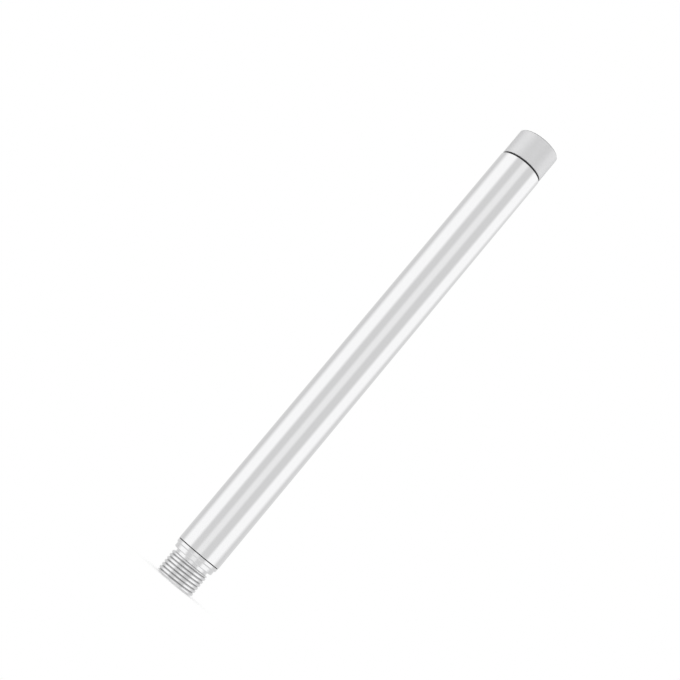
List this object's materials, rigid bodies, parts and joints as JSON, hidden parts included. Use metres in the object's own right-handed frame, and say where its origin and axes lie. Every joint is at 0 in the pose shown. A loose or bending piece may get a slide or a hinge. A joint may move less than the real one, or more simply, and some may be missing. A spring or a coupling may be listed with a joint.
{
  "type": "shower arm extension",
  "caption": "Straight polished tube with a male pipe thread at its foot and a satin female socket collar at its top, screwed between a shower arm and its head to lengthen it.",
  "frame": {"origin": "centre of the threaded end's face, on which the part stands", "axes": "+Z along the tube's axis, from the threaded end up to the socket; X and Y are free, because every piece is round about Z"},
  "size_m": [0.024, 0.024, 0.2842],
  "materials": {
    "polished_chrome": "polished",
    "satin_steel": "satin",
    "black_rubber": "matte"
  },
  "bodies": {
    "root": {"tube": "polished_chrome", "threaded_nipple": "polished_chrome", "nipple_o_ring": "black_rubber", "collar_gasket": "black_rubber", "socket_collar": "satin_steel", "socket_washer": "black_rubber"}
  },
  "joints": []
}
